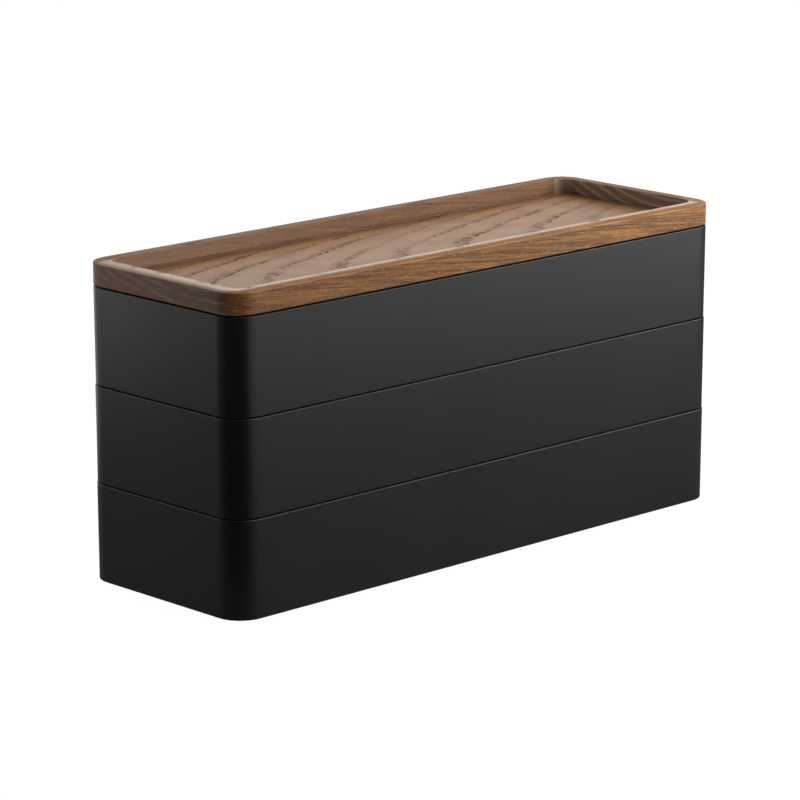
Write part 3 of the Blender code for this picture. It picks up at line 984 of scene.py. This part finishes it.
MIDDLE_DIVIDERS = [f"middle_divider_{number}" for number in (1, 2, 3)]
TOP_DIVIDERS = [f"top_divider_{number}" for number in (1, 2)]
add_tray("bottom", False, [])
add_tray("middle", True, MIDDLE_DIVIDERS)
add_tray("top", True, TOP_DIVIDERS)

# %% [markdown]
# ## Dividers
# Each divider is a moulded plate that drops between two pairs of ribs. It stands on the
# ledges at its ends and its narrower foot reaches down into the sunk pan. The plate is a
# block whose underside is cut in three by two planes, and the middle part is extruded
# down. Its top corners are rounded for the fingers, and every edge is broken.

# %% Dividers
FOOT_HALF_WIDTH = 34.9 * MM
LEDGE_GAP = 0.3 * MM
THUMB_RADIUS = 2.0 * MM
THUMB_STEPS = 8
BROKEN_EDGE = 0.25 * MM
BROKEN_STEPS = 2
ON_PLANE = 0.025 * MM
LOOKS_DOWN = -0.5


def divider_mesh(low, high, ledge):
    """Plate with a narrower foot under its ledges."""
    bm = box_mesh((low.x, low.y, ledge), high)
    for side in (-1, 1):
        everything = list(bm.verts) + list(bm.edges) + list(bm.faces)
        bmesh.ops.bisect_plane(bm, geom=everything, dist=ON_PLANE,
                               plane_co=(0, side * FOOT_HALF_WIDTH, 0), plane_no=(0, 1, 0))
    middle = [face for face in bm.faces if face.normal.z < LOOKS_DOWN
              and abs(face.calc_center_median().y) < FOOT_HALF_WIDTH]
    foot = bmesh.ops.extrude_face_region(bm, geom=middle)["geom"]
    moved = [item for item in foot if isinstance(item, bmesh.types.BMVert)]
    bmesh.ops.translate(bm, vec=(0, 0, low.z - ledge), verts=moved)
    bmesh.ops.delete(bm, geom=middle, context='FACES_ONLY')
    thumbs = [edge for edge in bm.edges
              if all(vert.co.z > high.z - MM for vert in edge.verts)
              and abs(edge.verts[0].co.x - edge.verts[1].co.x) > MM]
    bevel_edges(bm, thumbs, THUMB_RADIUS, THUMB_STEPS)
    creased = [edge for edge in bm.edges if len(edge.link_faces) == 2
               and edge.calc_face_angle() > FLAT_ANGLE]
    bevel_edges(bm, creased, BROKEN_EDGE, BROKEN_STEPS)
    return bm


for name in MIDDLE_DIVIDERS + TOP_DIVIDERS:
    body = name.split("_")[0]
    low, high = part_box(name)
    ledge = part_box(body + "_tier")[0].z + NEST_DEPTH + FLOOR + LEDGE_GAP
    plate = make_object(name + "_plate", divider_mesh(low, high, ledge), black_abs)
    dress(plate, body, "black_abs", name)

# %% [markdown]
# ## Liners, ring cushion and feet
# The liners are card faced with velour, cut to the floor and turned over at the edge. The
# ring cushion is a covered board with six stuffed rolls; rings stand in the slits between
# them. A roll starts as a fine sphere. Its coordinates are pushed outwards towards a bar,
# the bottom is pressed flat on the board, and the ends get the small gathers of a seam.

# %% Liners
LINER_EDGE = 0.45 * MM
LINER_RADIUS = {"bottom": 6.85 * MM, "middle": 4.9 * MM, "top": 4.9 * MM}


def liner_mesh(low, high, radius):
    """Covered card with its upper edge turned over."""
    bm = rounded_block(high.x - low.x, high.y - low.y, low.z, high.z - LINER_EDGE, radius)
    follow(bm, end_face(bm, 1), 1, arc(LINER_EDGE, high.z - LINER_EDGE, LINER_EDGE, 0, 90))
    return bm


for body, radius in LINER_RADIUS.items():
    liner = make_object(body + "_liner_velour", liner_mesh(*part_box(body + "_liner"), radius),
                        velour)
    dress(liner, body, "velour", body + "_liner")

# %% Ring cushion
BOARD_CORNER = 7.35 * MM
BOARD_EDGE = 0.4 * MM
BOARD_EDGE_STEPS = 3
ROLL_COUNT = 6
ROLL_AROUND = 56
ROLL_ALONG = 72
SIDE_FULLNESS = 0.75
END_FULLNESS = 0.4
FLAT_SHARE = 0.6
GATHERS = 9
GATHER_DEPTH = 0.035
GATHER_REACH = 0.62


def board_mesh(low, high):
    """Covered board whose outer corners follow the tray."""
    bm = box_mesh(low, high)
    middle = (low.x + high.x) / 2
    corners = [edge for edge in bm.edges
               if abs(edge.verts[0].co.z - edge.verts[1].co.z) > MM
               and edge.verts[0].co.x < middle]
    bevel_edges(bm, corners, BOARD_CORNER, CORNER_STEPS)
    upper = [edge for edge in bm.edges if all(vert.co.z > high.z - MM for vert in edge.verts)]
    bevel_edges(bm, upper, BOARD_EDGE, BOARD_EDGE_STEPS)
    return bm


def swell(value, fullness):
    """Push a sphere's coordinate outwards, so that a ball turns into a stuffed roll."""
    return math.copysign(abs(value) ** fullness, value)


def roll_mesh(low, high, phase):
    """Stuffed roll with gathers at its sewn ends."""
    bm = bmesh.new()
    bmesh.ops.create_uvsphere(bm, u_segments=ROLL_AROUND, v_segments=ROLL_ALONG, radius=1)
    half_width = (high.x - low.x) / 2
    half_length = (high.y - low.y) / 2
    crown = (high.z - low.z) / (1 + FLAT_SHARE)
    for vert in bm.verts:
        across, up, along = vert.co
        turn = math.atan2(up, across)
        pinch = max(0.0, (abs(along) - GATHER_REACH) / (1 - GATHER_REACH))
        slack = 1 - GATHER_DEPTH * pinch * (1 + math.cos(GATHERS * turn + phase))
        vert.co.x = half_width * swell(across, SIDE_FULLNESS) * slack
        vert.co.y = -half_length * swell(along, END_FULLNESS)
        pressed = max(swell(up, SIDE_FULLNESS) * slack, -FLAT_SHARE)
        vert.co.z = crown * (pressed + FLAT_SHARE)
    bmesh.ops.translate(bm, vec=((low.x + high.x) / 2, (low.y + high.y) / 2, low.z),
                        verts=bm.verts)
    return bm


board = make_object("ring_board_velour", board_mesh(*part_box("ring_board")), velour)
dress(board, "top", "velour", "ring_board")
for number in range(1, ROLL_COUNT + 1):
    node = f"ring_roll_{number}"
    roll = make_object(node + "_velour", roll_mesh(*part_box(node), number), velour)
    dress(roll, "top", "velour", node)

# %% Feet
FOOT_STEPS = 64
FOOT_EDGE = 0.25 * MM
FOOT_EDGE_STEPS = 4


def foot_mesh(low, high):
    """Silicone pad with a softened tread."""
    bm = bmesh.new()
    radius = (high.x - low.x) / 2
    bmesh.ops.create_cone(bm, cap_ends=True, segments=FOOT_STEPS, radius1=radius,
                          radius2=radius, depth=high.z - low.z)
    bmesh.ops.translate(bm, vec=(low + high) / 2, verts=bm.verts)
    tread = [edge for edge in bm.edges
             if all(vert.co.z < (low.z + high.z) / 2 for vert in edge.verts)]
    bevel_edges(bm, tread, FOOT_EDGE, FOOT_EDGE_STEPS)
    return bm


for corner in ("front_left", "front_right", "rear_left", "rear_right"):
    node = "foot_" + corner
    foot = make_object(node + "_pad", foot_mesh(*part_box(node)), silicone)
    dress(foot, "bottom", "black_silicone", node)

# %% [markdown]
# ## The studio
# The object stands on a white sweep, and the camera sees plain white round it. What the
# surfaces mirror is another room: dim grey behind the object, black above and on the
# camera's side. That is what draws a black box: each face mirrors lit panels, and the
# rounded corner between them mirrors the dark. The key panel and the low strips stand
# where the long side sees them, the left panel where the end does, and two panels at
# the back, about as white as the backdrop, shine in the oiled wood. Panels are near, so
# their reflections fade along each face. Softboxes farther off give a plain light. A
# dark card under the object, which only reflections see, keeps the white floor out of
# the black walls. Brightness is the radiance that a lamp shows, where 1 is the white of
# the backdrop.

# %% Studio
DARK_SIDE = direction(CAMERA_AZIMUTH, 0)
WHITE = (1.0, 1.0, 1.0, 1.0)
ROOM_GREY = 0.3
ROOM_GREY_FROM = -0.34
ROOM_DARK_FROM = 0.09
DARK_ABOVE = 0.8
DISC_STEPS = 96
FLOOR_RADIUS = 6.0
FLOOR_REAL = "#e6e6e6"
FLOOR_FAINT = "#666666"
FLOOR_GLOW = 0.98
CARD_RADIUS = 1.6
CARD_HEIGHT = 0.2 * MM
CARD_FADE = (60 * MM, 220 * MM)
CARD_GREY = 0.155

# Where a panel starts and ends on the floor, its lower and upper edge in mm, its radiance
PANELS = {
    "low_strip_corner": ((-100, -340), (100, -340), 20, 74, 2.2),
    "low_strip_near": ((100, -340), (330, -340), 20, 74, 2.6),
    "low_strip_far": ((330, -340), (900, -340), 20, 74, 4.4),
    "key_panel": ((330, -340), (900, -340), 200, 450, 9.6),
    "left_panel": ((-330, 250), (-240, 250), 18, 450, 1.9),
    "back_low_panel": ((-150, 220), (700, 220), 0, 250, 0.95),
    "back_high_panel": ((-150, 220), (700, 220), 250, 420, 1.25),
}

# Where a softbox stands and what it aims at, its width and height in mm, its radiance
SOFTBOXES = {
    "left_softbox": ((-2715, 1831, 500), (0, 0, 60), 2100, 1000, 0.8),
    "front_softbox": (direction(30, 45) * 2500, (0, 0, 0), 1000, 1000, 7.3),
    "overhead": ((0, -100, 1000), (0, 0, 100), 900, 900, 0.55),
}


def distance_along(tree, place, way):
    """How far a place or a direction lies along a way."""
    return computed(tree, 'DOT_PRODUCT', place, tuple(way), kind='VectorMath',
                    output='Value')


def lit(tree, kind, strength=1.0):
    """White light of some strength, as emission or as background."""
    return add_node(tree, kind, {'Color': WHITE, 'Strength': strength}).outputs[0]


def add_world():
    """Dim grey room, black on the camera's side, that the camera sees as plain white."""
    world = bpy.data.worlds.new("studio")
    bpy.context.scene.world = world
    world.use_nodes = True
    tree = world.node_tree
    tree.nodes.clear()
    source = add_node(tree, 'ShaderNodeTexCoord')
    side = distance_along(tree, source.outputs['Generated'],
                          DARK_SIDE + Vector((0, 0, DARK_ABOVE)))
    shade = between(tree, side, ROOM_GREY_FROM, ROOM_DARK_FROM, ROOM_GREY, 0.0)
    room = lit(tree, 'ShaderNodeBackground', shade)
    white = lit(tree, 'ShaderNodeBackground')
    path = add_node(tree, 'ShaderNodeLightPath').outputs
    seen = larger(tree, path['Is Camera Ray'], path['Is Transmission Ray'])
    view = add_node(tree, 'ShaderNodeMixShader', {0: seen, 1: room, 2: white})
    add_node(tree, 'ShaderNodeOutputWorld', {0: view.outputs[0]})


def stage_piece(name, bm):
    """Piece of the studio, with the tree of its still empty material."""
    material = bpy.data.materials.new(name)
    material.use_nodes = True
    material.node_tree.nodes.clear()
    piece = make_object(name, bm, material)
    return piece, material.node_tree


def disc_mesh(radius, height):
    """Level disc for the floor or a card."""
    bm = bmesh.new()
    bmesh.ops.create_circle(bm, cap_ends=True, segments=DISC_STEPS, radius=radius)
    bmesh.ops.translate(bm, vec=(0, 0, height), verts=bm.verts)
    return bm


def add_floor():
    """White floor that is seen as white, with a trace of the object's shadow."""
    tree = stage_piece("floor", disc_mesh(FLOOR_RADIUS, 0))[1]
    path = add_node(tree, 'ShaderNodeLightPath').outputs
    seen = larger(tree, path['Is Camera Ray'], path['Is Glossy Ray'])
    seen = larger(tree, seen, path['Is Transmission Ray'])
    real = add_node(tree, 'ShaderNodeBsdfDiffuse', {'Color': FLOOR_REAL})
    faint = add_node(tree, 'ShaderNodeBsdfDiffuse', {'Color': FLOOR_FAINT})
    glow = lit(tree, 'ShaderNodeEmission', FLOOR_GLOW)
    shown = add_node(tree, 'ShaderNodeAddShader', {0: faint.outputs[0], 1: glow})
    both = add_node(tree, 'ShaderNodeMixShader',
                    {0: seen, 1: real.outputs[0], 2: shown.outputs[0]})
    add_node(tree, 'ShaderNodeOutputMaterial', {0: both.outputs[0]})


def add_card():
    """Dark card under the object, black towards the camera, seen only in reflections."""
    card, tree = stage_piece("dark_card", disc_mesh(CARD_RADIUS, CARD_HEIGHT))
    source = add_node(tree, 'ShaderNodeTexCoord')
    side = distance_along(tree, source.outputs['Object'], DARK_SIDE)
    shade = between(tree, side, *CARD_FADE, CARD_GREY, 0.0)
    add_node(tree, 'ShaderNodeOutputMaterial', {0: lit(tree, 'ShaderNodeEmission', shade)})
    for kind in ("camera", "diffuse", "shadow", "transmission"):
        setattr(card, "visible_" + kind, False)


def add_panel(name, start, end, low, high, radiance):
    """Upright lit panel between two places on the floor; it also hides the room behind."""
    bm = bmesh.new()
    corners = [(*start, low), (*end, low), (*end, high), (*start, high)]
    bm.faces.new([bm.verts.new(Vector(corner) * MM) for corner in corners])
    panel, tree = stage_piece(name, bm)
    add_node(tree, 'ShaderNodeOutputMaterial', {0: lit(tree, 'ShaderNodeEmission', radiance)})
    panel.visible_camera = False
    print(name, "shows", radiance)


def add_softbox(name, place, aim, width, height, radiance):
    """Rectangular soft lamp; its power follows from the brightness that it shows."""
    lamp = bpy.data.objects.new(name, bpy.data.lights.new(name, 'AREA'))
    lamp.data.shape = 'RECTANGLE'
    lamp.data.size = width * MM
    lamp.data.size_y = height * MM
    lamp.data.energy = math.pi * radiance * width * height * MM * MM
    lamp.location = Vector(place) * MM
    lamp.rotation_mode = 'QUATERNION'
    lamp.rotation_quaternion = (Vector(aim) - Vector(place)).to_track_quat('-Z', 'Y')
    lamp.visible_camera = False
    bpy.context.scene.collection.objects.link(lamp)
    print(name, round(lamp.data.energy, 2), "W")


add_world()
add_floor()
add_card()
for name, panel in PANELS.items():
    add_panel(name, *panel)
for name, softbox in SOFTBOXES.items():
    add_softbox(name, *softbox)
bpy.context.scene.view_settings.view_transform = 'Standard'
